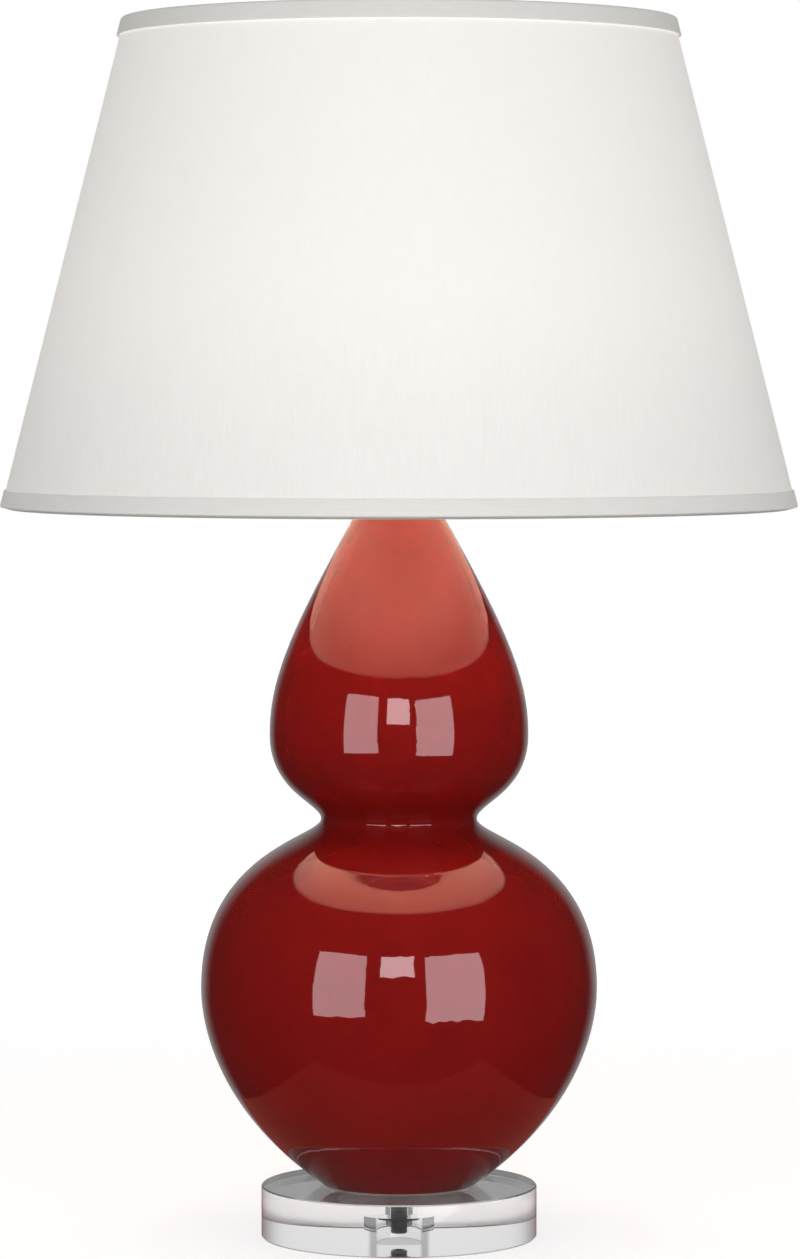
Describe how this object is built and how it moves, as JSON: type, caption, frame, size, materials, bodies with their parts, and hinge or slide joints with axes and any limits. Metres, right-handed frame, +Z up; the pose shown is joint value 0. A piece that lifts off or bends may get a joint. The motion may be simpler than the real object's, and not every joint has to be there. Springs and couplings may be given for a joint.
{
  "type": "double gourd table lamp",
  "caption": "Table lamp with a glazed ceramic double gourd body on a clear disc base, a detachable harp, a turn-switch socket and a white empire shade.",
  "frame": {"origin": "middle of the clear base's underside, on the lamp's upright axis", "axes": "+Z up along the lamp's axis; the switch knob points to the front, -Y; the harp stands in the XZ plane and the cord bushing is at the back, +Y"},
  "size_m": [0.4825, 0.4826, 0.7464],
  "materials": {
    "clear_acrylic": "clear, polished",
    "red_glaze": "deep oxblood red, high gloss",
    "nickel": "polished nickel plate",
    "zinc_steel": "bright zinc plate",
    "bushing_rubber": "satin black",
    "ring_nylon": "natural nylon",
    "sleeve_board": "insulating board",
    "black_phenolic": "moulded black phenolic",
    "contact_brass": "bright brass",
    "bulb_aluminium": "rolled aluminium",
    "bulb_insulation": "black glass",
    "frosted_glass": "white frosted, lit",
    "shade_cloth": "white slub weave",
    "trim_cloth": "white folded band",
    "liner_sheet": "white styrene sheet",
    "white_wire": "white enamel"
  },
  "bodies": {
    "stand": {"base_disc": "clear_acrylic", "base_washer": "zinc_steel", "base_lock_washer": "zinc_steel", "base_nut": "zinc_steel", "lamp_rod": "zinc_steel", "gourd_body": "red_glaze", "cord_bushing": "bushing_rubber", "neck_ring": "ring_nylon", "vase_cap": "nickel", "neck_tube": "nickel", "harp_saddle": "nickel", "socket_cap": "nickel", "socket_set_screw": "zinc_steel", "socket_shell": "nickel", "socket_sleeve": "sleeve_board", "socket_interior": "black_phenolic", "terminal_screws": "contact_brass", "screw_shell": "bulb_aluminium", "centre_contact": "contact_brass", "switch_bushing": "contact_brass"},
    "switch": {"switch_shaft": "contact_brass", "switch_knob": "black_phenolic"},
    "bulb_tip": {"bulb_contact": "contact_brass"},
    "bulb": {"bulb_insulator": "bulb_insulation", "bulb_screw_base": "bulb_aluminium", "bulb_glass": "frosted_glass"},
    "harp": {"harp_loop": "nickel", "harp_top_plate": "nickel", "harp_stud": "nickel"},
    "ferrule_left": {"harp_ferrule_left": "nickel"},
    "ferrule_right": {"harp_ferrule_right": "nickel"},
    "shade": {"shade_fabric": "shade_cloth", "shade_liner": "liner_sheet", "shade_top_trim": "trim_cloth", "shade_bottom_trim": "trim_cloth", "shade_top_ring": "white_wire", "shade_bottom_ring": "white_wire", "spider_arms": "white_wire", "spider_hub": "white_wire"},
    "finial_thread": {"finial_insert": "contact_brass"},
    "finial": {"finial": "nickel"}
  },
  "joints": [
    {"name": "switch_turn", "type": "hinge", "parent": "stand", "child": "switch", "pos_m": [0, -0.0205, 0.509], "axis": [0, -1, 0], "continuous": true},
    {"name": "bulb_lift", "type": "slide", "parent": "stand", "child": "bulb_tip", "axis": [0, 0, 1], "range_m": [0, 0.0185]},
    {"name": "bulb_turn", "type": "hinge", "parent": "bulb_tip", "child": "bulb", "pos_m": [0, 0, 0.5218], "axis": [0, 0, 1], "range_deg": [0, 1800]},
    {"name": "harp_lift", "type": "slide", "parent": "stand", "child": "harp", "axis": [0, 0, 1], "range_m": [0, 0.045]},
    {"name": "ferrule_left_slide", "type": "slide", "parent": "harp", "child": "ferrule_left", "axis": [0, 0, 1], "range_m": [0, 0.0125]},
    {"name": "ferrule_right_slide", "type": "slide", "parent": "harp", "child": "ferrule_right", "axis": [0, 0, 1], "range_m": [0, 0.0125]},
    {"name": "shade_turn", "type": "hinge", "parent": "harp", "child": "shade", "pos_m": [0, 0, 0.711], "axis": [0, 0, 1], "continuous": true},
    {"name": "finial_lift", "type": "slide", "parent": "harp", "child": "finial_thread", "axis": [0, 0, 1], "range_m": [0, 0.0115]},
    {"name": "finial_turn", "type": "hinge", "parent": "finial_thread", "child": "finial", "pos_m": [0, 0, 0.7154], "axis": [0, 0, 1], "range_deg": [0, 4320]}
  ],
  "couplings": [
    {"joint": "bulb_lift", "follows": "bulb_turn", "m_per_rad": 0.0005775},
    {"joint": "finial_lift", "follows": "finial_turn", "m_per_rad": 0.00014972}
  ]
}
